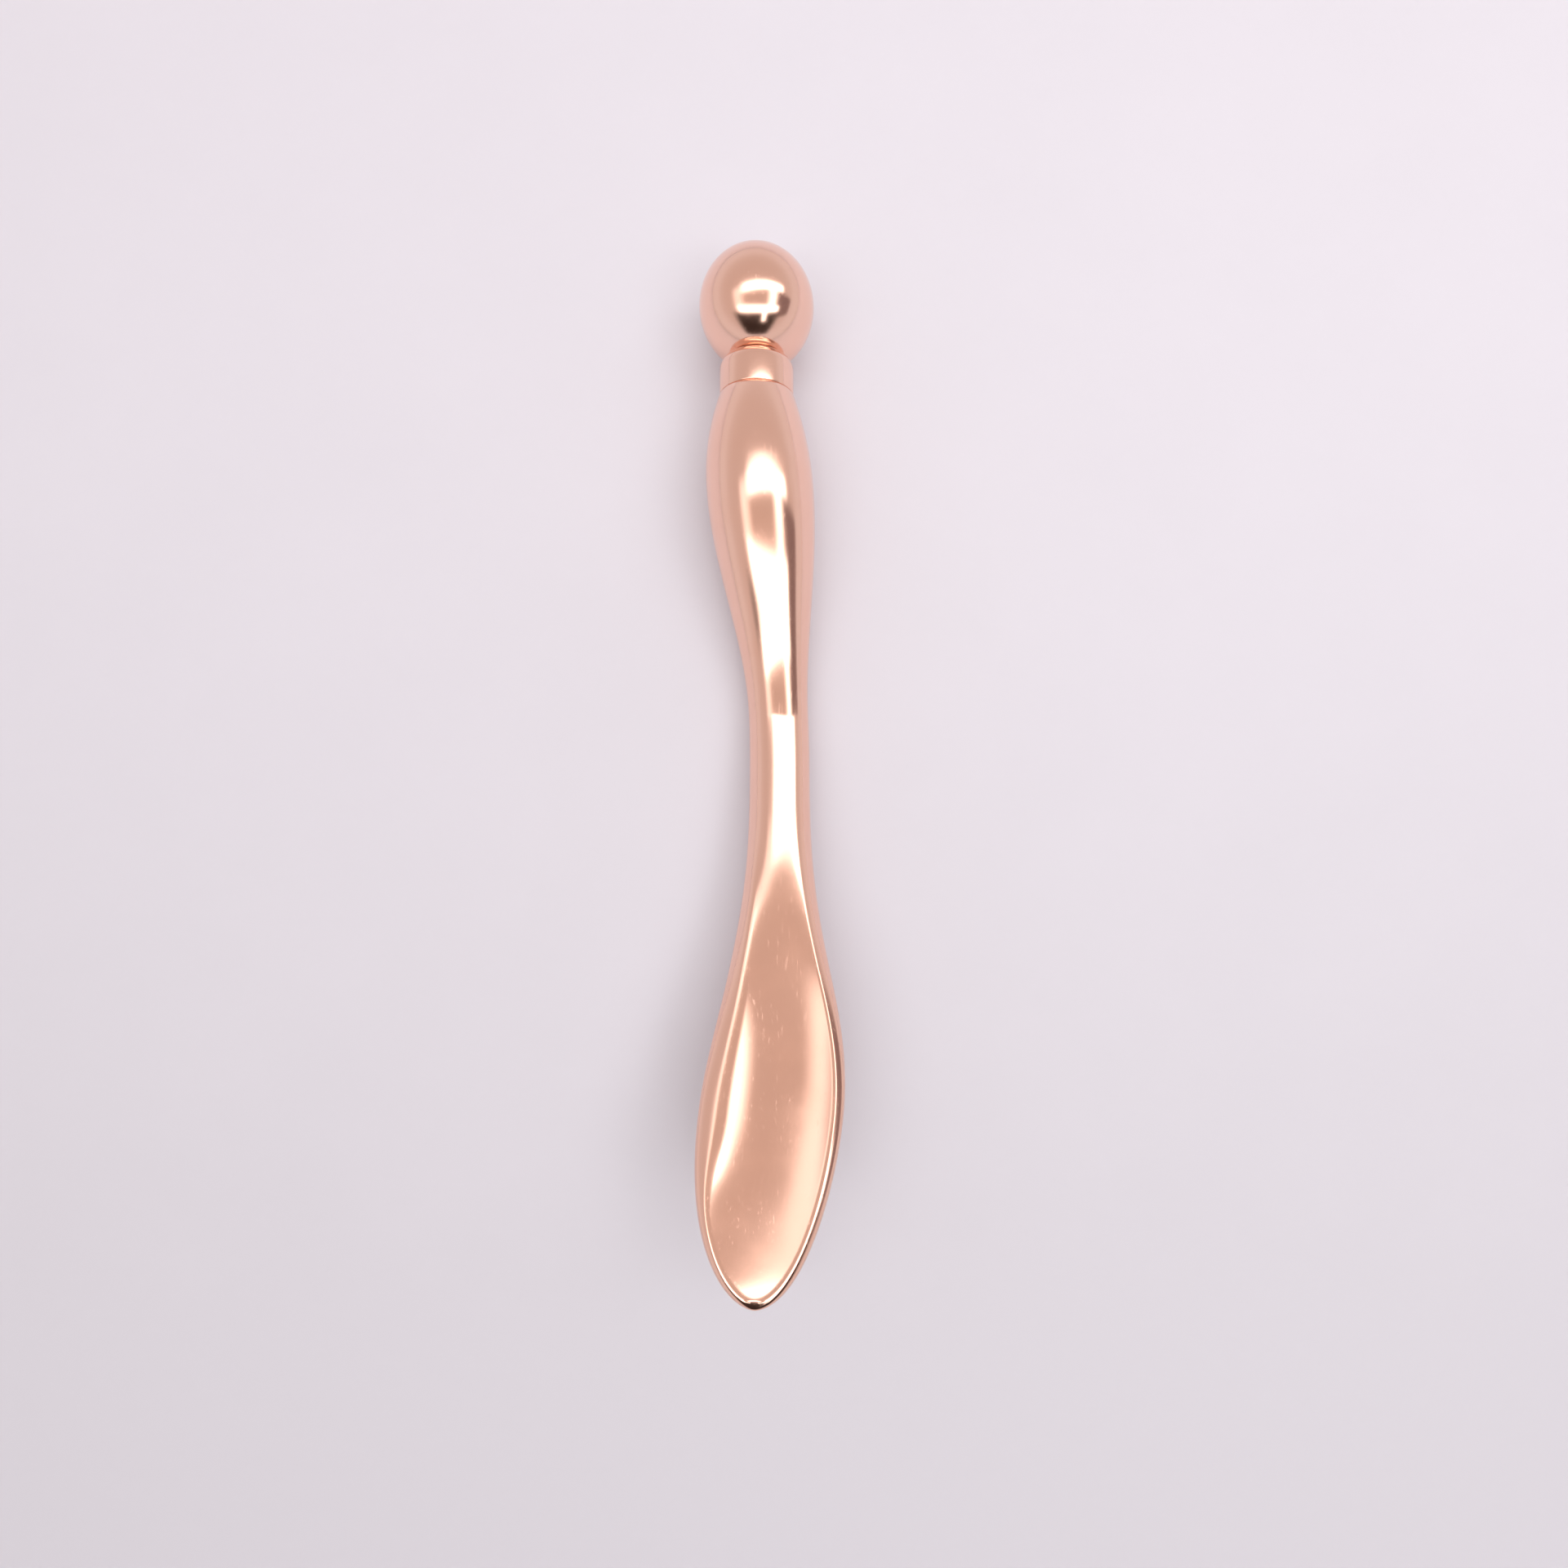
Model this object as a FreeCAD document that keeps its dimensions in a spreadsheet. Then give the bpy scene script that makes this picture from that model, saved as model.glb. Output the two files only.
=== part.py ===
import FreeCAD, Part
import math
import os

import Sketcher

# Double-ended cosmetic wand lying on its underside, in millimetres. X is across, Y runs
# from the spoon's tip to the ball, Z is up from the surface that the wand rests on.

vector = FreeCAD.Vector
doc = FreeCAD.newDocument("wand")

driving_sizes = [
    ("BallDiameter", 10.0, "rolling ball"),
    ("SeatGap", 0.1, "between the ball and the collar's dished seat"),
    ("LipRadius", 2.4, "front edge of the collar"),
    ("CollarDiameter", 6.45, "collar, flush with the handle's end"),
    ("CollarLength", 3.2, "part of the collar outside the handle"),
    ("ShoulderLength", 1.05, "rounded front of the collar"),
    ("SpigotDiameter", 4.6, "part of the collar pressed into the handle"),
    ("SpigotLength", 6.8, "depth of that press fit"),
    ("PinDiameter", 2.0, "pin that carries the ball"),
    ("PinClearance", 0.04, "radial running clearance in the collar"),
    ("PinInBall", 6.0, "depth of the pin in the ball"),
    ("BallHoleSpare", 0.3, "air left past the pin in the ball"),
    ("PinTail", 0.8, "pin past the retaining ring"),
    ("PinChamfer", 0.25, "both ends of the pin"),
    ("RingDiameter", 3.6, "retaining ring"),
    ("RingThickness", 0.4, "along the pin"),
    ("RingGap", 1.3, "mouth of the ring"),
    ("RingFloat", 0.1, "end play between the collar and the ring"),
    ("GrooveDepth", 0.25, "ring groove in the pin"),
    ("GrooveSlack", 0.02, "each side of the ring in its groove"),
    ("BoreSpare", 1.2, "air left past the pin in the handle"),
    ("DrillAngle", 31.0, "slope of the bore's drilled end, in degrees"),
    ("HandleLength", 74.2, "tip of the spoon to the collar"),
    ("BellyWidth", 9.37, "grip, across"),
    ("BellyDepth", 9.3, "grip, upright"),
    ("BellyFromEnd", 8.1, "widest place of the grip, from the collar"),
    ("CrestFromEnd", 6.8, "deepest place of the grip, from the collar"),
    ("BellyDrop", 0.05, "centre of the grip below the ball's axis"),
    ("NeckWidth", 5.42, "neck, across"),
    ("NeckDepth", 4.7, "neck, upright"),
    ("NeckFromEnd", 27.8, "start of the neck, from the collar"),
    ("NeckLength", 4.7, "straight part of the neck"),
    ("NeckClear", 0.03, "underside of the neck above the surface"),
    ("NeckShift", 2.0, "neck sideways from the ball's axis"),
    ("RollAngle", 11.0, "right side of the neck raised, in degrees"),
    ("SpoonRoll", 3.0, "the same at the spoon's widest place"),
    ("RollFromEnd", 18.0, "where that roll starts, from the collar"),
    ("SpoonWidth", 11.9, "spoon at its widest"),
    ("SpoonDepth", 2.9, "spoon, top of the skin to underside"),
    ("SpoonLift", 11.0, "tip above the neck"),
    ("NoseLength", 13.65, "widest place of the spoon to its tip"),
    ("TipShift", 1.84, "tip sideways from the neck, the other way"),
    ("CurlFromTip", 24.0, "where that sideways curl starts, from the tip"),
    ("BowlDepth", 1.05, "hollow of the spoon below its rim"),
    ("BowlFromTip", 38.0, "where the hollow fades in, from the tip"),
    ("RimWidth", 0.9, "right side's outline to the edge of the hollow"),
    ("TipRim", 0.8, "the same at the tip"),
    ("LeftRimShare", 0.34, "left rim up to the spoon's widest place, of the half width"),
    ("LeftRimRun", 8.0, "past that place, where the left rim has become as narrow"),
    ("RimRound", 0.18, "softness of the hollow's edge"),
    ("LeftRimRound", 0.5, "softness of the left edge where its rim is wide"),
    ("AxisAside", -1.21, "ball's axis from the middle of the whole outline"),
]

# Places that follow from the driving sizes.
derived_places = [
    ("SeatRadius", "=Sizes.BallDiameter / 2 + Sizes.SeatGap"),
    ("BallAhead", "=sqrt(SeatRadius ^ 2 - Sizes.LipRadius ^ 2)"),
    ("WandLength", "=Sizes.HandleLength + Sizes.CollarLength + BallAhead + Sizes.BallDiameter / 2"),
    ("TipPlace", "=-WandLength / 2"),
    ("EndPlace", "=TipPlace + Sizes.HandleLength"),
    ("BallPlace", "=EndPlace + Sizes.CollarLength + BallAhead"),
    ("SpigotPlace", "=EndPlace - Sizes.SpigotLength"),
    ("RingPlace", "=SpigotPlace - Sizes.RingFloat - Sizes.RingThickness"),
    ("PinPlace", "=RingPlace - Sizes.PinTail"),
    ("PinHead", "=BallPlace - Sizes.BallDiameter / 2 + Sizes.PinInBall"),
    ("AxisHeight", "=Sizes.BallDiameter / 2"),
    ("BorePlace", "=PinPlace - Sizes.BoreSpare"),
    ("DrillDepth", "=Sizes.SpigotDiameter / 2 * tan(Sizes.DrillAngle * 1 deg)"),
    ("CollarBore", "=Sizes.PinDiameter / 2 + Sizes.PinClearance"),
    ("GrooveRadius", "=Sizes.PinDiameter / 2 - Sizes.GrooveDepth"),
]


def make_sheets():
    sizes = doc.addObject("Spreadsheet::Sheet", "Sizes")
    for row, (alias, value, note) in enumerate(driving_sizes, start=1):
        sizes.set(f"A{row}", alias)
        sizes.set(f"B{row}", str(value))
        sizes.set(f"C{row}", note)
        sizes.setAlias(f"B{row}", alias)
    doc.recompute()
    places = doc.addObject("Spreadsheet::Sheet", "Places")
    for row, (alias, formula) in enumerate(derived_places, start=1):
        places.set(f"A{row}", alias)
        places.set(f"B{row}", formula)
        places.setAlias(f"B{row}", alias)
        doc.recompute()
    return sizes, places


sizes, places = make_sheets()


def ease(share):
    share = min(max(share, 0.0), 1.0)
    return (1 - math.cos(math.pi * share)) / 2


# Handle casting. Its skin is a stack of closed sections, each an ellipse whose top is
# lowered to the spoon's hollow where there is one.

flare_lateness = 1.43
curl_lateness = 1.06
lift_lateness = 1.25
nose_bluntness = 0.25
station_step = 2.4
nose_stations = 11
narrowest_bowl = 0.05
least_band_start = 0.35


class HandleForm:
    """Half sizes, centre and roll of the handle's section at any place along it."""

    def __init__(self):
        self.tip = places.TipPlace
        self.end = places.EndPlace
        self.belly = self.end - sizes.BellyFromEnd
        self.neck = self.end - sizes.NeckFromEnd
        self.shaft = self.neck - sizes.NeckLength
        self.spoon = self.tip + sizes.NoseLength
        self.curl_start = self.tip + sizes.CurlFromTip
        self.bowl_start = self.tip + sizes.BowlFromTip
        self.roll_start = self.end - sizes.RollFromEnd

    def along(self, place, crest, end_size, belly_size, neck_size, spoon_size):
        if place > crest:
            share = (place - crest) / (self.end - crest)
            return belly_size + (end_size - belly_size) * share ** 2
        if place > self.neck:
            share = ease((crest - place) / (crest - self.neck))
            return belly_size + (neck_size - belly_size) * share
        flare = max((self.shaft - place) / (self.shaft - self.spoon), 0.0)
        return neck_size + (spoon_size - neck_size) * ease(flare ** flare_lateness)

    def past_spoon(self, place):
        return max(self.spoon - place, 0.0)

    def nose_share(self, place, length):
        return max(1 - (self.past_spoon(place) / length) ** 2, 0.0)

    def half_width(self, place):
        sides = sizes.CollarDiameter, sizes.BellyWidth, sizes.NeckWidth, sizes.SpoonWidth
        width = self.along(place, self.belly, *sides)
        return width / 2 * math.sqrt(self.nose_share(place, sizes.NoseLength))

    def half_depth(self, place):
        depths = sizes.CollarDiameter, sizes.BellyDepth, sizes.NeckDepth, sizes.SpoonDepth
        depth = self.along(place, self.end - sizes.CrestFromEnd, *depths)
        return depth / 2 * self.nose_share(place, sizes.NoseLength) ** nose_bluntness

    def centre_x(self, place):
        bend = sizes.NeckShift * ease((self.end - place) / (self.end - self.shaft))
        curl = max((self.curl_start - place) / sizes.CurlFromTip, 0.0)
        return sizes.AxisAside + bend - sizes.TipShift * ease(curl ** curl_lateness)

    def centre_z(self, place):
        if place > self.belly:
            drop = ease((self.end - place) / (self.end - self.belly))
            return places.AxisHeight - sizes.BellyDrop * drop
        grip = places.AxisHeight - sizes.BellyDrop
        neck = sizes.NeckDepth / 2 + sizes.NeckClear
        if place > self.neck:
            return grip + (neck - grip) * ease((self.belly - place) / (self.belly - self.neck))
        lift = (self.neck - place) / (self.neck - self.tip)
        return neck + sizes.SpoonLift * lift ** lift_lateness

    def roll(self, place):
        neck_roll = sizes.RollAngle * ease((self.roll_start - place) / (self.roll_start - self.neck))
        back = ease((self.shaft - place) / (self.shaft - self.spoon))
        return math.radians(neck_roll + (sizes.SpoonRoll - sizes.RollAngle) * back)

    def bowl_edges(self, place):
        """Offsets of the hollow's left and right edge."""
        inner = math.sqrt(self.nose_share(place, sizes.NoseLength - sizes.TipRim))
        half = self.half_width(max(place, self.spoon))
        wide = sizes.LeftRimShare * half
        left_rim = wide + (sizes.RimWidth - wide) * ease(self.past_spoon(place) / sizes.LeftRimRun)
        return (left_rim - half) * inner, (half - sizes.RimWidth) * inner

    def skin(self, offset, place):
        share = min(abs(offset) / self.half_width(place), 1.0)
        return self.half_depth(place) * math.sqrt(1 - share ** 2)

    def top(self, offset, place):
        """Height above the section's centre of its upper side."""
        skin = self.skin(offset, place)
        left, right = self.bowl_edges(place)
        fade = ease((self.bowl_start - place) / (self.bowl_start - self.spoon))
        if fade == 0 or right - left < narrowest_bowl:
            return skin
        share = (offset - left) / (right - left)
        left_height, right_height = self.skin(left, place), self.skin(right, place)
        hollow = sizes.BowlDepth * self.nose_share(place, sizes.NoseLength - sizes.TipRim)
        bowl = left_height + (right_height - left_height) * share - 4 * hollow * share * (1 - share)
        narrowing = ease(self.past_spoon(place) / sizes.LeftRimRun) if share < 0.5 else 1.0
        softness = sizes.LeftRimRound + (sizes.RimRound - sizes.LeftRimRound) * narrowing
        overlap = max(softness - abs(skin - bowl), 0.0) / softness
        return skin + (min(skin, bowl) - overlap ** 2 * softness / 4 - skin) * fade


def section_points(form, place):
    width = form.half_width(place)
    depth = form.half_depth(place)
    middle = vector(form.centre_x(place), place, form.centre_z(place))
    turn = FreeCAD.Rotation(vector(0, 1, 0), -math.degrees(form.roll(place)))
    left, right = form.bowl_edges(place)
    right = max(right, least_band_start * width)
    left = min(left, -least_band_start * width)
    band_steps = 7
    bowl_steps = 18
    under_steps = 22
    right_angle, left_angle = math.acos(right / width), math.acos(-left / width)
    offsets = [width * math.cos(right_angle * step / band_steps) for step in range(band_steps)]
    for step in range(bowl_steps + 1):
        share = (1 - math.cos(math.pi * step / bowl_steps)) / 2
        offsets.append(right + (left - right) * share)
    offsets += [-width * math.cos(left_angle * step / band_steps) for step in range(band_steps - 1, -1, -1)]
    upper = [vector(offset, 0, form.top(offset, place)) for offset in offsets]
    under = [math.pi + math.pi * step / under_steps for step in range(1, under_steps)]
    lower = [vector(width * math.cos(angle), 0, depth * math.sin(angle)) for angle in under]
    return [middle + turn.multVec(point) for point in upper + lower]


def shared_parameters(points):
    """Curve parameters in proportion to the distances round the widest section."""
    lengths = [0.0]
    for first, second in zip(points, points[1:] + points[:1]):
        lengths.append(lengths[-1] + math.sqrt((second - first).Length))
    return [length / lengths[-1] for length in lengths]


def casting_shape():
    form = HandleForm()
    straight = math.ceil((form.end - form.spoon) / station_step)
    stations = [form.end + (form.spoon - form.end) * step / straight for step in range(straight)]
    nose_angles = [math.pi / 2 * step / nose_stations for step in range(nose_stations)]
    stations += [form.spoon - sizes.NoseLength * math.sin(angle) for angle in nose_angles]
    parameters = shared_parameters(section_points(form, form.spoon))
    wires = []
    for place in stations:
        curve = Part.BSplineCurve()
        curve.interpolate(Points=section_points(form, place), Parameters=parameters, PeriodicFlag=True)
        wires.append(Part.Wire([curve.toShape()]))
    tip = vector(form.centre_x(form.tip), form.tip, form.centre_z(form.tip))
    return Part.makeLoft(wires + [Part.Vertex(tip)], True)


# Pieces round the ball's axis are drawn with their own Z axis along it, towards the ball,
# and their origin where the handle ends.

along_axis = FreeCAD.Rotation(vector(1, 0, 0), -90)


def place_on_axis(piece, place="Places.EndPlace"):
    piece.Placement = FreeCAD.Placement(vector(0, 0, 0), along_axis)
    piece.setExpression("Placement.Base.x", "Sizes.AxisAside")
    piece.setExpression("Placement.Base.y", place)
    piece.setExpression("Placement.Base.z", "Places.AxisHeight")


def make_handle():
    casting = doc.addObject("Part::Feature", "Casting")
    casting.Shape = casting_shape()
    bore = doc.addObject("Part::Cylinder", "HandleBore")
    bore.setExpression("Radius", "Sizes.SpigotDiameter / 2")
    bore.setExpression("Height", "Places.EndPlace - Places.BorePlace")
    place_on_axis(bore, "Places.BorePlace")
    drill_end = doc.addObject("Part::Cone", "DrillEnd")
    drill_end.Radius1 = 0
    drill_end.setExpression("Radius2", "Sizes.SpigotDiameter / 2")
    drill_end.setExpression("Height", "Places.DrillDepth")
    place_on_axis(drill_end, "Places.BorePlace - Places.DrillDepth")
    hole = doc.addObject("Part::Fuse", "BlindHole")
    hole.Base = bore
    hole.Tool = drill_end
    handle = doc.addObject("Part::Cut", "Handle")
    handle.Base = casting
    handle.Tool = hole
    handle.Label = "handle"
    return handle


def make_body(name, label):
    body = doc.addObject("PartDesign::Body", name)
    body.Label = label
    place_on_axis(body)
    return body


def add_sketch(body, name, role):
    plane = next(item for item in body.Origin.OriginFeatures if item.Role == role)
    sketch = body.newObject("Sketcher::SketchObject", name)
    sketch.AttachmentSupport = [(plane, "")]
    sketch.MapMode = "FlatFace"
    return sketch


def number(expression):
    return float(sizes.evalExpression(expression))


def bind(sketch, constraint, expression):
    """Adds a dimension and ties it to the sheets."""
    index = sketch.addConstraint(constraint)
    sketch.setExpression(f"Constraints[{index}]", expression)


def arc_between(first, second, centre_along):
    """Arc whose centre has a given height, and whether it runs from second to first."""
    rise = (second.y - centre_along) ** 2 - (first.y - centre_along) ** 2
    centre_across = (second.x ** 2 - first.x ** 2 + rise) / (2 * (second.x - first.x))
    centre = vector(centre_across, centre_along, 0)
    start, finish = first - centre, second - centre
    swapped = start.cross(finish).z < 0
    if swapped:
        start, finish = finish, start
    turn = start.getAngle(finish)
    circle = Part.Circle(centre, vector(0, 0, 1), start.Length)
    start_angle = math.atan2(start.y, start.x)
    return Part.ArcOfCircle(circle, start_angle, start_angle + turn), swapped


def turned_sketch(body, corners):
    """Half outline of a turned piece. Each corner is (across, along, centre), where centre
    is the height of the arc's centre if the next edge is an arc."""
    sketch = add_sketch(body, body.Name + "Outline", "XZ_Plane")
    spots = [vector(number(across), number(along), 0) for across, along, centre in corners]
    ends = []
    for index, (across, along, centre) in enumerate(corners):
        first, second = spots[index], spots[(index + 1) % len(spots)]
        swapped = False
        edge = Part.LineSegment(first, second)
        if centre is not None:
            edge, swapped = arc_between(first, second, number(centre))
        sketch.addGeometry(edge, False)
        ends.append((2, 1) if swapped else (1, 2))
    for index, (across, along, centre) in enumerate(corners):
        before = index - 1 if index else len(corners) - 1
        start, last = ends[index][0], ends[before][1]
        sketch.addConstraint(Sketcher.Constraint("Coincident", before, last, index, start))
        spot = spots[index]
        if across == "0":
            sketch.addConstraint(Sketcher.Constraint("PointOnObject", index, start, -2))
        else:
            bind(sketch, Sketcher.Constraint("DistanceX", -1, 1, index, start, spot.x), across)
        bind(sketch, Sketcher.Constraint("DistanceY", -1, 1, index, start, spot.y), along)
        if centre is not None:
            bind(sketch, Sketcher.Constraint("DistanceY", -1, 1, index, 3, number(centre)), centre)
    return sketch


def turn_body(name, label, corners):
    body = make_body(name, label)
    sketch = turned_sketch(body, corners)
    turned = body.newObject("PartDesign::Revolution", name + "Turned")
    turned.Profile = sketch
    turned.ReferenceAxis = (sketch, ["V_Axis"])
    turned.Angle = 360
    body.Tip = turned
    return body


# Turned pieces. Heights are from the handle's end, and the pin's are below it.

ball_height = "(Places.BallPlace - Places.EndPlace)"
spigot_foot = "(Places.SpigotPlace - Places.EndPlace)"
groove_foot = "(Places.RingPlace - Places.EndPlace - Sizes.GrooveSlack)"
groove_head = "(Places.RingPlace - Places.EndPlace + Sizes.RingThickness + Sizes.GrooveSlack)"
pin_foot = "(Places.PinPlace - Places.EndPlace)"
pin_head = "(Places.PinHead - Places.EndPlace)"
pin_radius = "Sizes.PinDiameter / 2"


def make_collar():
    seat_inner = f"{ball_height} - sqrt(Places.SeatRadius ^ 2 - Places.CollarBore ^ 2)"
    shoulder = "Sizes.CollarLength - Sizes.ShoulderLength"
    corners = [
        ("Places.CollarBore", spigot_foot, None),
        ("Sizes.SpigotDiameter / 2", spigot_foot, None),
        ("Sizes.SpigotDiameter / 2", "0", None),
        ("Sizes.CollarDiameter / 2", "0", None),
        ("Sizes.CollarDiameter / 2", shoulder, shoulder),
        ("Sizes.LipRadius", "Sizes.CollarLength", ball_height),
        ("Places.CollarBore", seat_inner, None),
    ]
    return turn_body("Collar", "collar", corners)


def make_ball():
    ball_radius = "Sizes.BallDiameter / 2"
    mouth = f"{ball_height} - sqrt(({ball_radius}) ^ 2 - ({pin_radius}) ^ 2)"
    hole_end = f"{pin_head} + Sizes.BallHoleSpare"
    corners = [
        (pin_radius, mouth, ball_height),
        ("0", f"{ball_height} + {ball_radius}", None),
        ("0", hole_end, None),
        (pin_radius, hole_end, None),
    ]
    return turn_body("Ball", "massage_ball", corners)


def make_pin():
    chamfer_radius = f"{pin_radius} - Sizes.PinChamfer"
    corners = [
        ("0", pin_foot, None),
        (chamfer_radius, pin_foot, None),
        (pin_radius, f"{pin_foot} + Sizes.PinChamfer", None),
        (pin_radius, groove_foot, None),
        ("Places.GrooveRadius", groove_foot, None),
        ("Places.GrooveRadius", groove_head, None),
        (pin_radius, groove_head, None),
        (pin_radius, f"{pin_head} - Sizes.PinChamfer", None),
        (chamfer_radius, pin_head, None),
        ("0", pin_head, None),
    ]
    return turn_body("Pin", "ball_pin", corners)


def make_ring():
    """Open ring: two arcs joined by the two sides of its mouth."""
    body = make_body("Ring", "retaining_ring")
    sketch = add_sketch(body, "RingOutline", "XY_Plane")
    sketch.setExpression("AttachmentOffset.Base.z", "Places.RingPlace - Places.EndPlace")
    outer = number("Sizes.RingDiameter / 2")
    inner = number("Places.GrooveRadius + Sizes.GrooveSlack")
    half_gap = number("Sizes.RingGap / 2")
    origin, up = vector(0, 0, 0), vector(0, 0, 1)
    spots = []
    for radius in (outer, inner):
        angle = math.asin(half_gap / radius)
        sketch.addGeometry(Part.ArcOfCircle(Part.Circle(origin, up, radius), angle, -angle), False)
        spots.append(vector(math.sqrt(radius ** 2 - half_gap ** 2), half_gap, 0))
    for side in (1, -1):
        ends = [vector(spot.x, spot.y * side, 0) for spot in spots]
        sketch.addGeometry(Part.LineSegment(*ends), False)
    for arc in (0, 1):
        sketch.addConstraint(Sketcher.Constraint("Coincident", arc, 3, -1, 1))
        sketch.addConstraint(Sketcher.Constraint("Coincident", arc, 1, 2, arc + 1))
        sketch.addConstraint(Sketcher.Constraint("Coincident", arc, 2, 3, arc + 1))
    for side in (2, 3):
        sketch.addConstraint(Sketcher.Constraint("Horizontal", side))
    bind(sketch, Sketcher.Constraint("DistanceY", -1, 1, 2, 1, half_gap), "Sizes.RingGap / 2")
    bind(sketch, Sketcher.Constraint("DistanceY", 3, 1, -1, 1, half_gap), "Sizes.RingGap / 2")
    bind(sketch, Sketcher.Constraint("Radius", 0, outer), "Sizes.RingDiameter / 2")
    bind(sketch, Sketcher.Constraint("Radius", 1, inner), "Places.GrooveRadius + Sizes.GrooveSlack")
    ring = body.newObject("PartDesign::Pad", "RingPad")
    ring.Profile = sketch
    ring.setExpression("Length", "Sizes.RingThickness")
    body.Tip = ring
    return body


def check_document():
    for item in doc.Objects:
        if {"Invalid", "Error"} & set(item.State):
            raise RuntimeError(f"{item.Name} failed: {item.State}")
        if item.isDerivedFrom("Sketcher::SketchObject") and item.solve() != 0:
            raise RuntimeError(f"{item.Name} has no solution")


def write_pieces(pieces):
    os.makedirs("parts", exist_ok=True)
    for piece in pieces:
        shape = piece.Shape
        if shape.isNull() or not shape.isValid() or len(shape.Solids) != 1:
            raise RuntimeError(f"{piece.Label} has no valid solid")
    for piece in pieces:
        piece.Shape.exportStep(f"parts/{piece.Label}.step")
        print(f"{piece.Label}: {piece.Shape.Volume:.1f} mm3")


pieces = [make_handle(), make_collar(), make_ball(), make_pin(), make_ring()]
doc.recompute()
check_document()
write_pieces(pieces)
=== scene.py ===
import math

import bpy
import numpy as np
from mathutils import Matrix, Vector


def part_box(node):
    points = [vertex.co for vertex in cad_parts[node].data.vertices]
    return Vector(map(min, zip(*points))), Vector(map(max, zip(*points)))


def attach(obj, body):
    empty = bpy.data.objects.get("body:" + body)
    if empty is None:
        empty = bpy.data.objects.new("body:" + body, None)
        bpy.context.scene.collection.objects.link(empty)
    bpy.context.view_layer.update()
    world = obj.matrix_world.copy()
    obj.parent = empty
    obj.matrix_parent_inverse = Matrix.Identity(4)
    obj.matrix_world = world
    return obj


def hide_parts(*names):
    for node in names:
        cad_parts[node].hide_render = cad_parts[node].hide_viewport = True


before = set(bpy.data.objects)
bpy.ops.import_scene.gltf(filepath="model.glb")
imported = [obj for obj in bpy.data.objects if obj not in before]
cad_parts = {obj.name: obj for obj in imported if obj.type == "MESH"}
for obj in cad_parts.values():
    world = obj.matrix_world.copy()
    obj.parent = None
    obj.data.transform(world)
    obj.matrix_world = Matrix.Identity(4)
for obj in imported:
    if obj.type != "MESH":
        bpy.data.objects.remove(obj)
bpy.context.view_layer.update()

mm = 0.001
handleLow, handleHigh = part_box("handle")
collarLow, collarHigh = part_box("collar")
ballLow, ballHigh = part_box("massage_ball")
pinLow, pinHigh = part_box("ball_pin")
ballRadius = (ballHigh.x - ballLow.x) / 2
axis = Vector(((ballLow.x + ballHigh.x) / 2, 0, ballRadius))  # line that the ball turns about
ballCentre = Vector((axis.x, ballHigh.y - ballRadius, axis.z))

# a very wide lens close above the wand, looking straight down
camera = dict(
    height=73.7 * mm, aside=1.19 * mm, along=-3.15 * mm, lens=18.0, sensor=36.0,
    nearest=1 * mm, farthest=20,
)


def addObject(name, data):
    made = bpy.data.objects.new(name, data)
    bpy.context.scene.collection.objects.link(made)
    return made


def makeCamera():
    made = addObject("camera", bpy.data.cameras.new("camera"))
    made.data.lens = camera["lens"]
    made.data.sensor_width = camera["sensor"]
    made.data.clip_start = camera["nearest"]
    made.data.clip_end = camera["farthest"]
    made.location = (camera["aside"], camera["along"], camera["height"])
    bpy.context.scene.camera = made
    bpy.context.scene.view_settings.view_transform = "Standard"


makeCamera()
print("camera made")


class Wire:
    # one socket of a material's node tree; sums and products of wires add Math nodes
    def __init__(self, tree, socket):
        self.tree = tree
        self.socket = socket

    def node(self, kind, settings, sockets, output=0):
        made = self.tree.nodes.new(kind)
        for name, value in settings.items():
            if name == "stops":
                fillRamp(made.color_ramp, value)
            else:
                setattr(made, name, value)
        for name, value in sockets.items():
            if isinstance(value, Wire):
                self.tree.links.new(value.socket, made.inputs[name])
            else:
                made.inputs[name].default_value = value
        return Wire(self.tree, made.outputs[output])

    def math(self, operation, first, second=0.0):
        return self.node("ShaderNodeMath", {"operation": operation}, {0: first, 1: second})

    def __add__(self, other):
        return self.math("ADD", self, other)

    def __sub__(self, other):
        return self.math("SUBTRACT", self, other)

    def __rsub__(self, other):
        return self.math("SUBTRACT", other, self)

    def __mul__(self, other):
        return self.math("MULTIPLY", self, other)

    __radd__ = __add__
    __rmul__ = __mul__


def fillRamp(ramp, stops):
    while len(ramp.elements) > 1:
        ramp.elements.remove(ramp.elements[-1])
    ramp.elements[0].position = stops[0][0]
    ramp.elements[0].color = (stops[0][1],) * 3 + (1,)
    for place, grey in stops[1:]:
        ramp.elements.new(place).color = (grey,) * 3 + (1,)


def newMaterial(name):
    made = bpy.data.materials.new(name)
    made.use_nodes = True
    tree = made.node_tree
    tree.nodes.clear()
    shader = tree.nodes.new("ShaderNodeBsdfPrincipled")
    output = tree.nodes.new("ShaderNodeOutputMaterial")
    tree.links.new(shader.outputs[0], output.inputs[0])
    coordinates = tree.nodes.new("ShaderNodeTexCoord")
    return made, shader, Wire(tree, coordinates.outputs["Object"])


def plug(wire, shader, socket):
    wire.tree.links.new(wire.socket, shader.inputs[socket])


def stretched(place, *scales):
    return place.node("ShaderNodeVectorMath", {"operation": "MULTIPLY"}, {0: place, 1: scales})


def noise(place, scale, detail, rough=0.5):
    settings = {"noise_dimensions": "3D"}
    sockets = {"Vector": place, "Scale": scale, "Detail": detail, "Roughness": rough}
    return place.node("ShaderNodeTexNoise", settings, sockets)


def fade(value, low, high):
    # 0 up to low, 1 from high on
    return value.node("ShaderNodeValToRGB", {"stops": ((low, 0.0), (high, 1.0))}, {"Fac": value})


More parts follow.
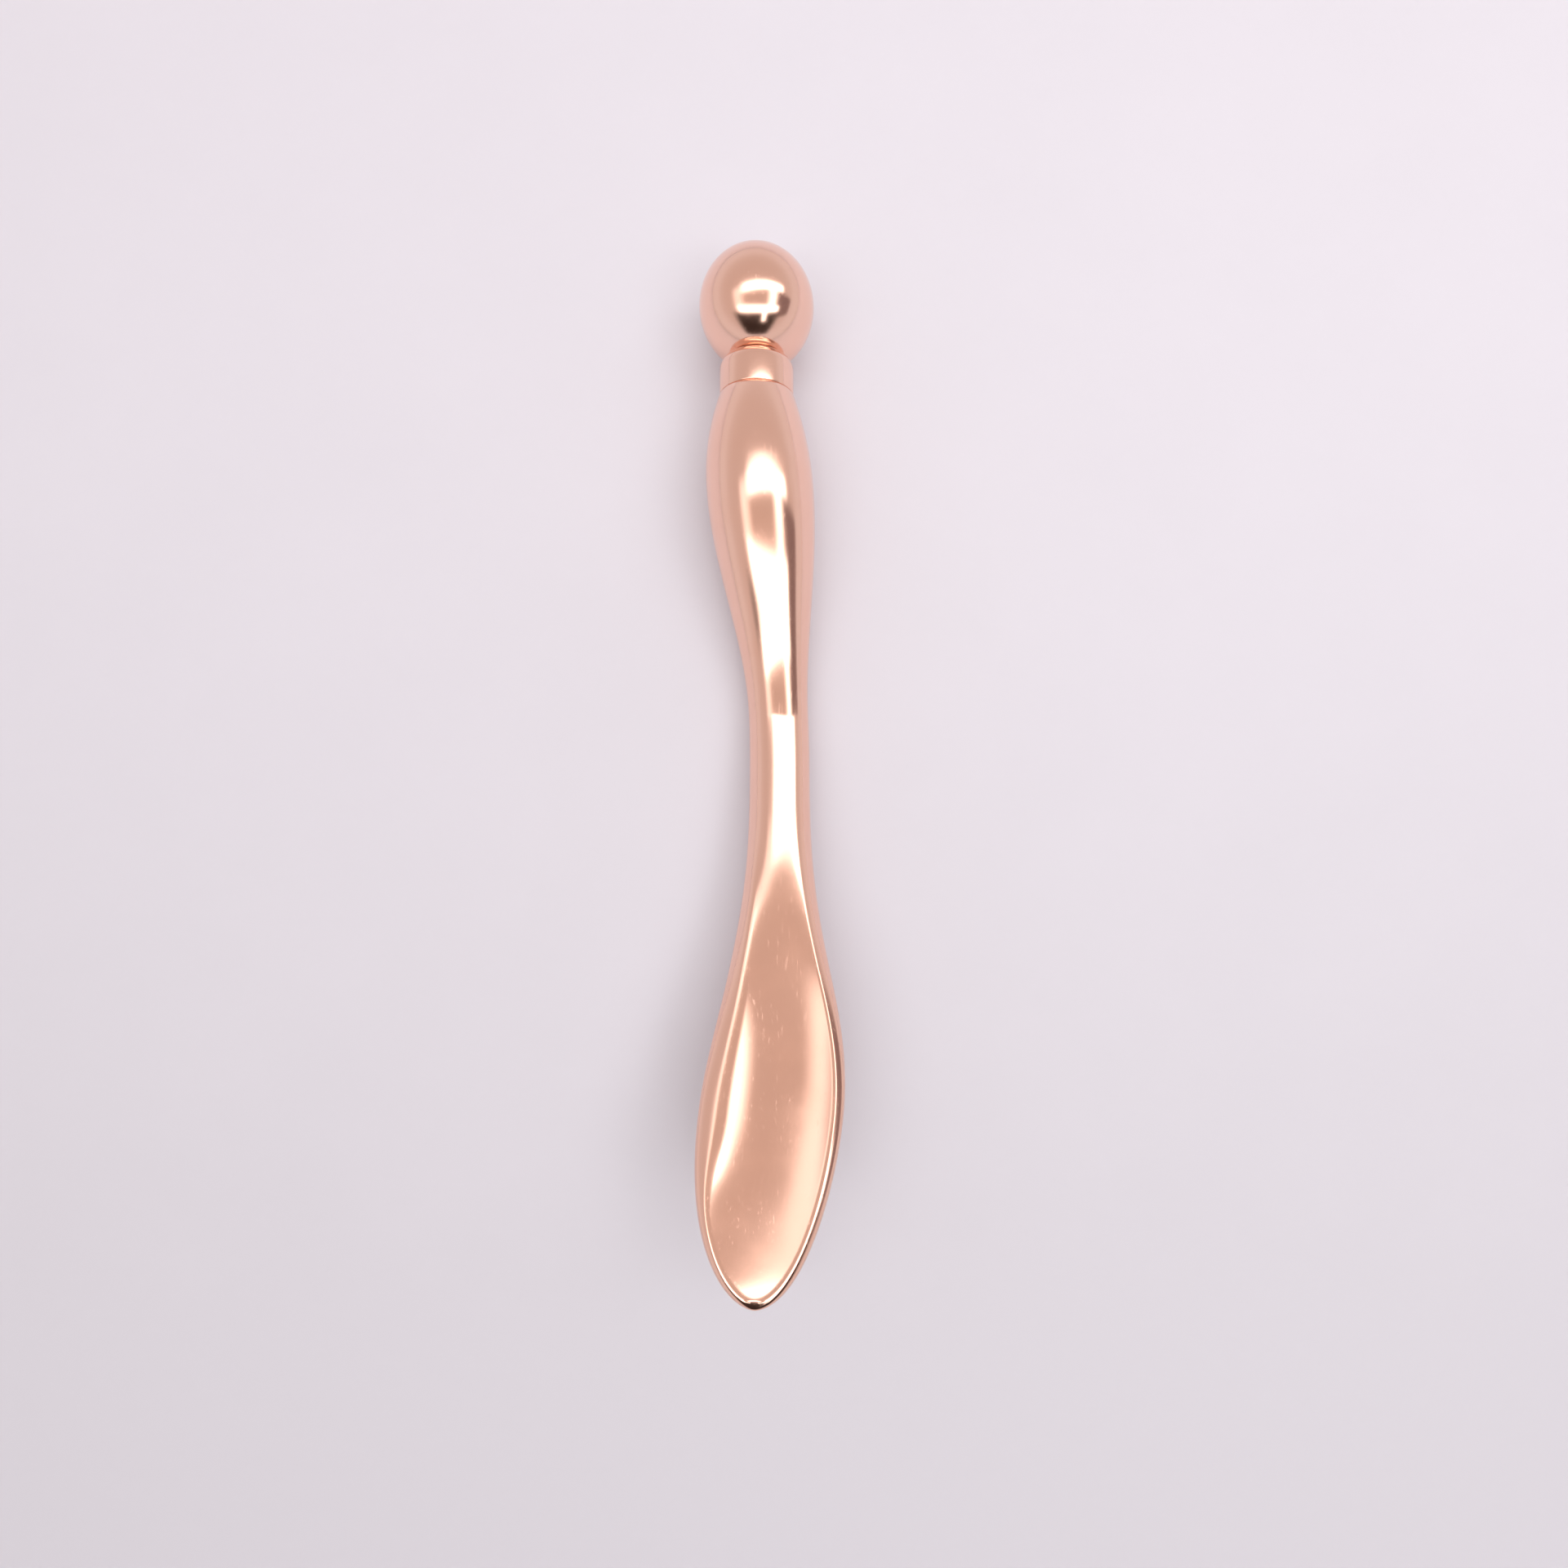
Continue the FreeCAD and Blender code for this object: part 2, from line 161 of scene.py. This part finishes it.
def softStep(value, edge, soft):
    sockets = {0: value, 1: edge - soft, 2: edge + soft}
    return value.node("ShaderNodeMapRange", {"interpolation_type": "SMOOTHSTEP"}, sockets)


def blend(share, first, second):
    # sockets 6 and 7 and output 2 of a Mix node are its two colours and their blend
    return share.node("ShaderNodeMix", {"data_type": "RGBA"}, {0: share, 6: first, 7: second}, 2)


def bump(height, strength, distance):
    return height.node("ShaderNodeBump", {}, {"Height": height, "Strength": strength, "Distance": distance})


def axisPart(place, number):
    return place.node("ShaderNodeSeparateXYZ", {}, {0: place}, number)


# rose-gold plating: polished, with faint hairlines and handling smears
plating = dict(
    colour=(0.92, 0.60, 0.48, 1),
    worn=(0.90, 0.55, 0.42, 1),
    wornShare=0.35,
    gloss=0.14,
    smudge=0.05,
    scratch=0.10,
    hairs=9000,               # per metre, across the hairlines
    hairEdges=(0.66, 0.74),
    smears=190.0,             # per metre
    smearEdges=(0.45, 0.75),
    scratchRelief=0.02,
    scratchDepth=0.02 * mm,
)


def makePlating(name, hairLength):
    # hairLength: how many times longer a hairline is along the wand than across it
    made, shader, place = newMaterial(name)
    shader.inputs["Metallic"].default_value = 1.0
    across = plating["hairs"]
    hairline = noise(stretched(place, across, across / hairLength, across), 1.0, 1.0)
    hairlines = fade(hairline, *plating["hairEdges"])
    smears = fade(noise(place, plating["smears"], 4.0, 0.6), *plating["smearEdges"])
    plug(blend(smears * plating["wornShare"], plating["colour"], plating["worn"]), shader, "Base Color")
    rough = plating["gloss"] + smears * plating["smudge"] + hairlines * plating["scratch"]
    plug(rough, shader, "Roughness")
    plug(bump(hairlines, plating["scratchRelief"], plating["scratchDepth"]), shader, "Normal")
    return made


castingMaterial = makePlating("rose gold casting", 60.0)
turnedMaterial = makePlating("rose gold collar", 1.0)
ballMaterial = makePlating("rose gold ball", 3.0)

# bare steel inside, ground in fine rings about the wand's axis
steel = dict(
    pin=(0.62, 0.61, 0.59), pinGloss=0.18,
    ring=(0.30, 0.28, 0.27), ringGloss=0.32,
    grinding=(800, 12000, 800),  # per metre along X, Y and Z
    shade=0.8, unevenness=0.15, relief=0.15, depth=0.01 * mm,
)


def makeSteel(name, colour, gloss):
    made, shader, place = newMaterial(name)
    shader.inputs["Metallic"].default_value = 1.0
    grind = noise(stretched(place, *steel["grinding"]), 1.0, 2.0)
    darker = tuple(part * steel["shade"] for part in colour)
    plug(blend(grind, colour + (1,), darker + (1,)), shader, "Base Color")
    plug(gloss + grind * steel["unevenness"], shader, "Roughness")
    plug(bump(grind, steel["relief"], steel["depth"]), shader, "Normal")
    return made


pinMaterial = makeSteel("ground steel", steel["pin"], steel["pinGloss"])
ringMaterial = makeSteel("spring steel", steel["ring"], steel["ringGloss"])
print("materials made")


creaseAngle = 40  # degrees; a sharper turn between faces stays a visible edge


def meshPiece(name, points, faces, material, body, node):
    mesh = bpy.data.meshes.new(name)
    mesh.from_pydata([tuple(point) for point in points], [], faces)
    mesh.validate()
    mesh.shade_smooth()
    mesh.set_sharp_from_angle(angle=math.radians(creaseAngle))
    mesh.materials.append(material)
    piece = addObject(name, mesh)
    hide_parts(node)
    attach(piece, body)
    return piece


def skinFaces(rows, columns):
    # quads between closed loops of points
    faces = []
    for row in range(rows - 1):
        for column in range(columns):
            after = (column + 1) % columns
            here, there = row * columns, (row + 1) * columns
            faces.append((here + column, here + after, there + after, there + column))
    return faces


# the handle in millimetres and degrees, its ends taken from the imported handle
casting = dict(
    endWidth=6.45, endRound=0.12,
    bellyWidth=9.37, bellyDepth=9.3, bellyFromEnd=8.1, crestFromEnd=6.8, bellyDrop=0.05,
    neckWidth=5.42, neckDepth=4.7, neckFromEnd=27.8, neckLength=4.7, neckClear=0.03, neckShift=2.0,
    rollAngle=11.0, rollFromEnd=18.0, spoonRoll=3.0,
    spoonWidth=11.9, spoonDepth=2.9, spoonLift=11.0, noseLength=13.65, tipShift=1.84, curlFromTip=24.0,
    bowlDepth=1.05, bowlFromTip=38.0, rimWidth=0.9, tipRim=0.8, leftRimShare=0.34, leftRimRun=8.0,
    rimRound=0.18, leftRimRound=0.5,
    flareLateness=1.43, curlLateness=1.06, liftLateness=1.25,  # above 1 the change comes later
    noseBluntness=0.25, narrowestBowl=0.05,
    boreWidth=4.6, boreSpare=1.2, boreBreak=0.05, drillPoint=1.38, drillFlat=0.02,
)
castingMesh = dict(
    firstStation=0.15, straightStations=350, noseStations=110, roundSteps=5,
    bandSteps=24, bowlSteps=110, underSteps=50, leastBandStart=0.35,
)


def ease(share):
    return (1 - np.cos(np.pi * np.clip(share, 0, 1))) / 2


class CastingForm:
    # half sizes, centre and roll of the section at any place along the handle, in millimetres
    def __init__(self, sizes):
        self.sizes = sizes
        self.tip = handleLow.y / mm
        self.end = handleHigh.y / mm
        self.belly = self.end - sizes["bellyFromEnd"]
        self.crest = self.end - sizes["crestFromEnd"]
        self.rollStart = self.end - sizes["rollFromEnd"]
        self.neck = self.end - sizes["neckFromEnd"]
        self.shaft = self.neck - sizes["neckLength"]
        self.spoon = self.tip + sizes["noseLength"]
        self.curl = self.tip + sizes["curlFromTip"]
        self.bowlStart = self.tip + sizes["bowlFromTip"]
        self.innerNose = sizes["noseLength"] - sizes["tipRim"]

    def along(self, place, crest, endSize, bellySize, neckSize, spoonSize):
        # a parabola from the end to the crest, then eased to the neck and out to the spoon
        front = bellySize + (endSize - bellySize) * ((place - crest) / (self.end - crest)) ** 2
        middle = bellySize + (neckSize - bellySize) * ease((crest - place) / (crest - self.neck))
        flare = np.clip((self.shaft - place) / (self.shaft - self.spoon), 0, None)
        back = neckSize + (spoonSize - neckSize) * ease(flare ** self.sizes["flareLateness"])
        return np.where(place > crest, front, np.where(place > self.neck, middle, back))

    def pastSpoon(self, place):
        return np.clip(self.spoon - place, 0, None)

    def noseShare(self, place, length):
        return np.clip(1 - (self.pastSpoon(place) / length) ** 2, 0, None)

    def halfWidth(self, place):
        size = self.sizes
        sides = size["endWidth"], size["bellyWidth"], size["neckWidth"], size["spoonWidth"]
        width = self.along(place, self.belly, *sides)
        return width / 2 * np.sqrt(self.noseShare(place, size["noseLength"]))

    def halfDepth(self, place):
        size = self.sizes
        depths = size["endWidth"], size["bellyDepth"], size["neckDepth"], size["spoonDepth"]
        depth = self.along(place, self.crest, *depths)
        return depth / 2 * self.noseShare(place, size["noseLength"]) ** size["noseBluntness"]

    def centreX(self, place):
        size = self.sizes
        bend = size["neckShift"] * ease((self.end - place) / (self.end - self.shaft))
        curl = np.clip((self.curl - place) / size["curlFromTip"], 0, None)
        return axis.x / mm + bend - size["tipShift"] * ease(curl ** size["curlLateness"])

    def centreZ(self, place):
        size = self.sizes
        high = axis.z / mm
        front = high - size["bellyDrop"] * ease((self.end - place) / (self.end - self.belly))
        grip = high - size["bellyDrop"]
        neck = size["neckDepth"] / 2 + size["neckClear"]
        middle = grip + (neck - grip) * ease((self.belly - place) / (self.belly - self.neck))
        lift = np.clip((self.neck - place) / (self.neck - self.tip), 0, None)
        back = neck + size["spoonLift"] * lift ** size["liftLateness"]
        return np.where(place > self.belly, front, np.where(place > self.neck, middle, back))

    def roll(self, place):
        size = self.sizes
        neckRoll = size["rollAngle"] * ease((self.rollStart - place) / (self.rollStart - self.neck))
        back = ease((self.shaft - place) / (self.shaft - self.spoon))
        return np.radians(neckRoll + (size["spoonRoll"] - size["rollAngle"]) * back)

    def bowlEdges(self, place):
        # offsets of the hollow's left and right edge
        size = self.sizes
        inner = np.sqrt(self.noseShare(place, self.innerNose))
        half = self.halfWidth(np.maximum(place, self.spoon))
        wide = size["leftRimShare"] * half
        leftRim = wide + (size["rimWidth"] - wide) * ease(self.pastSpoon(place) / size["leftRimRun"])
        return (leftRim - half) * inner, (half - size["rimWidth"]) * inner

    def skin(self, offset, place):
        share = np.clip(np.abs(offset) / np.maximum(self.halfWidth(place), 1e-6), 0, 1)
        return self.halfDepth(place) * np.sqrt(1 - share ** 2)

    def top(self, offset, place):
        # height above the section's centre of its upper side, lowered to the hollow
        size = self.sizes
        skin = self.skin(offset, place)
        left, right = self.bowlEdges(place)
        run = np.maximum(right - left, 0.01)  # keeps the division safe at the very tip
        start = ease((self.bowlStart - place) / (self.bowlStart - self.spoon))
        fadeIn = np.where(right - left < size["narrowestBowl"], 0, start)
        share = (offset - left) / run
        leftHeight, rightHeight = self.skin(left, place), self.skin(right, place)
        hollow = size["bowlDepth"] * self.noseShare(place, self.innerNose)
        bowl = leftHeight + (rightHeight - leftHeight) * share - 4 * hollow * share * (1 - share)
        narrowing = np.where(share < 0.5, ease(self.pastSpoon(place) / size["leftRimRun"]), 1)
        softness = size["leftRimRound"] + (size["rimRound"] - size["leftRimRound"]) * narrowing
        overlap = np.clip(softness - np.abs(skin - bowl), 0, None) / softness
        return skin + (np.minimum(skin, bowl) - overlap ** 2 * softness / 4 - skin) * fadeIn


def castingPlaces(form):
    # stations along the handle, closer together towards the tip
    start = form.end - castingMesh["firstStation"]
    straight = np.linspace(start, form.spoon, castingMesh["straightStations"], endpoint=False)
    angles = np.linspace(0, math.pi / 2, castingMesh["noseStations"], endpoint=False)
    nose = form.spoon - form.sizes["noseLength"] * np.sin(angles)
    return np.concatenate([straight, nose])


def castingLoops(form):
    # across each section: right band, hollow, left band, then the underside
    bandSteps, bowlSteps = castingMesh["bandSteps"], castingMesh["bowlSteps"]
    underSteps = castingMesh["underSteps"]
    places = castingPlaces(form)[:, None]
    width = form.halfWidth(places)
    left, right = form.bowlEdges(places)
    bandStart = castingMesh["leastBandStart"] * width
    left, right = np.minimum(left, -bandStart), np.maximum(right, bandStart)
    steps = np.arange(bandSteps)[None, :] / bandSteps
    rightBand = width * np.cos(np.arccos(right / width) * steps)
    leftBand = -width * np.cos(np.arccos(-left / width) * steps)
    share = (1 - np.cos(np.pi * np.arange(bowlSteps + 1)[None, :] / bowlSteps)) / 2
    offsets = np.concatenate([rightBand, right + (left - right) * share, leftBand[:, ::-1]], axis=1)
    under = np.pi + np.pi * np.arange(1, underSteps)[None, :] / underSteps
    across = np.concatenate([offsets, width * np.cos(under)], axis=1)
    upright = np.concatenate([form.top(offsets, places), form.halfDepth(places) * np.sin(under)], axis=1)
    cosine, sine = np.cos(form.roll(places)), np.sin(form.roll(places))
    turned = across * cosine - upright * sine + form.centreX(places)
    heights = across * sine + upright * cosine + form.centreZ(places)
    along = np.broadcast_to(places, across.shape)
    return np.stack([turned, along, heights], axis=2) * mm


def circleLoop(like, radius, place):
    # a loop round the ball's axis whose points stand at the same angles as those of another loop
    centre = np.array([axis.x, 0, axis.z])
    spread = like - centre
    spread[:, 1] = 0
    spread /= np.linalg.norm(spread, axis=1)[:, None]
    loop = centre + spread * radius
    loop[:, 1] = place
    return loop


def castingEnd(first):
    # loops from the bottom of the bore, out of its mouth and round the rim to the skin
    size = {name: value * mm for name, value in casting.items()}
    endRadius, boreRadius, rounding = size["endWidth"] / 2, size["boreWidth"] / 2, size["endRound"]
    boreFoot = pinLow.y - size["boreSpare"]
    loops = [
        circleLoop(first, size["drillFlat"], boreFoot - size["drillPoint"]),
        circleLoop(first, boreRadius, boreFoot),
        circleLoop(first, boreRadius, handleHigh.y - size["boreBreak"]),
        circleLoop(first, boreRadius + size["boreBreak"], handleHigh.y),
        circleLoop(first, endRadius - rounding, handleHigh.y),
    ]
    for step in range(1, castingMesh["roundSteps"]):
        angle = math.pi / 2 * step / castingMesh["roundSteps"]
        radius = endRadius - rounding * (1 - math.sin(angle))
        loops.append(circleLoop(first, radius, handleHigh.y - rounding * (1 - math.cos(angle))))
    return loops


def makeCasting():
    form = CastingForm(casting)
    loops = castingLoops(form)
    stack = np.concatenate([np.array(castingEnd(loops[0])), loops])
    rows, columns = stack.shape[:2]
    tip = np.array([form.centreX(form.tip), form.tip, form.centreZ(form.tip)]) * mm
    points = np.vstack([stack.reshape(-1, 3), tip])
    faces = skinFaces(rows, columns)
    last = (rows - 1) * columns
    faces += [(last + column, last + (column + 1) % columns, rows * columns) for column in range(columns)]
    faces.append(tuple(reversed(range(columns))))
    return meshPiece("wandCasting", points, faces, castingMaterial, "wand", "handle")


makeCasting()
print("casting made")


def lathe(name, outline, steps, material, body, node):
    # outline: (radius, place along Y) pairs of a closed half section, outwards at its low end and
    # inwards at its high end, so that the faces look out
    turns = 2 * math.pi * np.arange(steps) / steps
    points, rings = [], []
    for radius, place in outline:
        if radius < 1e-7:
            rings.append([len(points)])
            points.append((axis.x, place, axis.z))
            continue
        rings.append(list(range(len(points), len(points) + steps)))
        for turn in turns:
            points.append((axis.x + radius * math.sin(turn), place, axis.z + radius * math.cos(turn)))
    faces = []
    for ring, after in zip(rings, rings[1:] + rings[:1]):
        if len(ring) == 1 and len(after) == 1:
            continue
        for step in range(steps):
            corners = [ring[step % len(ring)], ring[(step + 1) % len(ring)]]
            corners += [after[(step + 1) % len(after)], after[step % len(after)]]
            faces.append(tuple(dict.fromkeys(corners)))
    return meshPiece(name, points, faces, material, body, node)


def arc(centre, radius, startAngle, endAngle, steps):
    # (radius, place) points of an arc; angle 0 points along Y, away from the spoon
    angles = np.linspace(startAngle, endAngle, steps)
    return [(centre[0] + radius * math.sin(turn), centre[1] + radius * math.cos(turn)) for turn in angles]


ball = dict(holeRadius=1.0 * mm, holeSpare=0.3 * mm, turnSteps=256, arcSteps=200)


def makeBall():
    hole = ball["holeRadius"]
    mouth = math.pi - math.asin(hole / ballRadius)
    outline = arc((0, ballCentre.y), ballRadius, 0, mouth, ball["arcSteps"])
    outline[0] = (0, ballHigh.y)
    holeEnd = pinHigh.y + ball["holeSpare"]
    outline += [(hole, holeEnd), (0, holeEnd)]
    outline.reverse()
    steps = ball["turnSteps"]
    return lathe("rollingBall", outline, steps, ballMaterial, "ball", "massage_ball")


collar = dict(
    lip=2.4 * mm, seatGap=0.1 * mm, bore=1.04 * mm, spigot=2.3 * mm, shoulder=1.05 * mm, edge=0.08 * mm,
    turnSteps=256, edgeSteps=6, arcSteps=24,
)


def makeCollar():
    # spigot, small edge, domed shoulder, and the dished seat that clears the ball
    radius = (collarHigh.x - collarLow.x) / 2
    seat = ballRadius + collar["seatGap"]
    shoulderPlace = collarHigh.y - collar["shoulder"]
    run = radius - collar["lip"]
    dome = (run ** 2 + collar["shoulder"] ** 2) / (2 * run)
    domeEnd = math.acos((collarHigh.y - shoulderPlace) / dome)
    domeCentre = (radius - dome, shoulderPlace)
    edge = collar["edge"]
    bore, spigot = collar["bore"], collar["spigot"]
    outline = [(bore, collarLow.y), (spigot, collarLow.y), (spigot, handleHigh.y)]
    outline += arc((radius - edge, handleHigh.y + edge), edge, math.pi, math.pi / 2, collar["edgeSteps"])
    outline += arc(domeCentre, dome, math.pi / 2, domeEnd, collar["arcSteps"])
    lipAngle = math.pi - math.asin(collar["lip"] / seat)
    boreAngle = math.pi - math.asin(bore / seat)
    outline += arc((0, ballCentre.y), seat, lipAngle, boreAngle, collar["arcSteps"])
    steps = collar["turnSteps"]
    return lathe("bearingCollar", outline, steps, turnedMaterial, "wand", "collar")


makeBall()
makeCollar()
for node, material in (("ball_pin", pinMaterial), ("retaining_ring", ringMaterial)):
    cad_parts[node].data.materials.clear()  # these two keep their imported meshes
    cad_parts[node].data.materials.append(material)
print("turned pieces made")


def sheet(name, size, material):
    half = size / 2
    mesh = bpy.data.meshes.new(name)
    corners = [(-half, -half, 0), (half, -half, 0), (half, half, 0), (-half, half, 0)]
    mesh.from_pydata(corners, [], [(0, 1, 2, 3)])
    mesh.materials.append(material)
    return addObject(name, mesh)


# pale paper under the wand, with painted shade that darkens it towards the spoon
paper = dict(
    size=3.0, colour=(0.735, 0.745, 0.83, 1), paintedShade=(0.62, 0.63, 0.70, 1),
    shadeReach=90 * mm, roughness=0.7, mottle=0.25, mottleScale=60.0,
)


def makeFloor():
    made, shader, place = newMaterial("paper")
    mottle = noise(place, paper["mottleScale"], 5.0, 0.6)
    # painted shade darkens the paper towards the spoon, with random mottle added on top
    shade = softStep(axisPart(place, 1) * -1.0, 0, paper["shadeReach"]) + mottle * paper["mottle"]
    plug(blend(shade, paper["colour"], paper["paintedShade"]), shader, "Base Color")
    shader.inputs["Roughness"].default_value = paper["roughness"]
    sheet("floor", paper["size"], made)


# soft panels on one wide sheet above the wand; along and across are each low edge, high edge and
# softness in mm, and a slanted patch runs a little askew
ceiling = dict(
    size=3.0, height=260 * mm, slant=0.13, light=(1.0, 0.97, 0.95), strength=3.2,
    panels=[
        dict(along=(47, 120, 14), across=(-120, 330, 50), slanted=True, power=1.0),   # beyond the ball
        dict(along=(-148, -76, 12), across=(-200, 290, 40), slanted=False, power=1.0),  # beyond the spoon
        dict(along=(-290, -140, 20), across=(70, 130, 15), slanted=False, power=0.8),
        dict(along=(-120, 90, 30), across=(130, 215, 40), slanted=False, power=0.7),
        dict(along=(-120, 80, 30), across=(-230, -130, 45), slanted=False, power=0.28),
    ],
    surround=(0.68, 0.58, 0.55, 1), rim=(0.80, 0.74, 0.75, 1), rimPlace=700 * mm, rimSoft=500 * mm,
    tints=[
        dict(along=(-250, 80, 40), across=(250, 700, 40), slanted=False, colour=(0.26, 0.19, 0.19, 1)),
        dict(along=(-90, 50, 15), across=(-190, 230, 30), slanted=True, colour=(0.66, 0.53, 0.47, 1)),
        dict(along=(-900, -155, 30), across=(-300, 330, 90), slanted=False, colour=(0.035, 0.022, 0.018, 1)),
    ],
)


def band(value, low, high, soft):
    return softStep(value, low * mm, soft * mm) * (1.0 - softStep(value, high * mm, soft * mm))


def patch(sizes, across, along, slanted):
    return band(slanted if sizes["slanted"] else along, *sizes["along"]) * band(across, *sizes["across"])


def makeCeiling():
    material, shader, place = newMaterial("ceiling")
    across, along = axisPart(place, 0), axisPart(place, 1)
    slanted = along - across * ceiling["slant"]
    bright = 0.0
    for panel in ceiling["panels"]:
        bright = patch(panel, across, along, slanted) * panel["power"] + bright
    distance = place.node("ShaderNodeVectorMath", {"operation": "LENGTH"}, {0: place}, 1)
    far = softStep(distance, ceiling["rimPlace"], ceiling["rimSoft"])
    tone = blend(far, ceiling["surround"], ceiling["rim"])
    for tint in ceiling["tints"]:
        tone = blend(patch(tint, across, along, slanted), tone, tint["colour"])
    glow = bright.math("MINIMUM", bright, 1.0) * ceiling["strength"]
    lamp = glow.node("ShaderNodeVectorMath", {"operation": "SCALE"}, {0: ceiling["light"], "Scale": glow})
    total = lamp.node("ShaderNodeVectorMath", {"operation": "ADD"}, {0: lamp, 1: tone})
    plug(total, shader, "Emission Color")
    shader.inputs["Emission Strength"].default_value = 1.0
    shader.inputs["Base Color"].default_value = (0, 0, 0, 1)
    shader.inputs["Specular IOR Level"].default_value = 0.0
    lid = sheet("ceiling", ceiling["size"], material)
    lid.location = (0, 0, ceiling["height"])
    lid.visible_camera = False


def makeWorld():
    world = bpy.data.worlds.new("studio")
    world.use_nodes = True
    world.node_tree.nodes["Background"].inputs["Color"].default_value = ceiling["rim"]
    bpy.context.scene.world = world


makeFloor()
makeWorld()
makeCeiling()
print("studio made")
